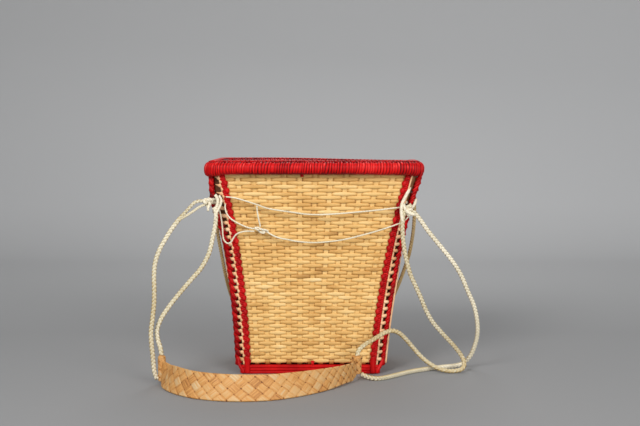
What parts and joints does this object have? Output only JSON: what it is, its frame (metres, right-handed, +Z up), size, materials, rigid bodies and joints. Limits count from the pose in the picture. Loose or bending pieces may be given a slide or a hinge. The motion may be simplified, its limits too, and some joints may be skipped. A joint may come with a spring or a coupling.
{
  "type": "back basket",
  "caption": "Tapering rectangular back basket of woven cane with a red bound rim, red lashed corners, a base frame and a plaited forehead band on braided cords.",
  "frame": {"origin": "on the floor at the middle of the base frame, on the base runner's lower face", "axes": "+Z up, +X to the right seen from the front, -Y towards the front, where the forehead band lies"},
  "size_m": [0.5629, 0.4065, 0.3689],
  "materials": {
    "cane": "split natural cane, satin",
    "pale_cane": "split natural cane, satin",
    "red_cane": "red dyed cane, semi-gloss",
    "braid_cord": "off-white braided cord, matte",
    "plaited_band": "plaited flat strips, satin"
  },
  "bodies": {
    "basket": {"front_wall": "cane", "back_wall": "cane", "left_wall": "cane", "right_wall": "cane", "woven_bottom": "cane", "front_left_stake": "pale_cane", "front_right_stake": "pale_cane", "back_left_stake": "pale_cane", "back_right_stake": "pale_cane", "front_left_face_strip": "red_cane", "front_right_face_strip": "red_cane", "back_left_face_strip": "red_cane", "back_right_face_strip": "red_cane", "front_left_side_strip": "red_cane", "front_right_side_strip": "red_cane", "back_left_side_strip": "red_cane", "back_right_side_strip": "red_cane", "front_rail": "red_cane", "back_rail": "red_cane", "left_rail": "red_cane", "right_rail": "red_cane", "base_runner": "red_cane", "front_tie": "red_cane", "back_tie": "red_cane", "rim_outer_hoop": "red_cane", "rim_inner_hoop": "red_cane", "rim_binding": "red_cane", "rim_plait": "red_cane", "left_hitch": "braid_cord", "right_hitch": "braid_cord", "upper_string": "braid_cord", "lower_string_left": "braid_cord", "drop_string": "braid_cord", "lower_string_right": "braid_cord", "string_loop": "braid_cord", "string_knot": "braid_cord", "support_cord": "braid_cord"},
    "harness": {"left_cord_outer": "braid_cord", "left_cord_inner": "braid_cord", "right_cord_outer": "braid_cord", "right_cord_inner": "braid_cord", "headband": "plaited_band"}
  },
  "joints": [
    {"name": "harness_swing", "type": "hinge", "parent": "basket", "child": "harness", "pos_m": [0, -0.11156, 0.3], "axis": [-1, 0, 0], "range_deg": [0, 130]}
  ]
}
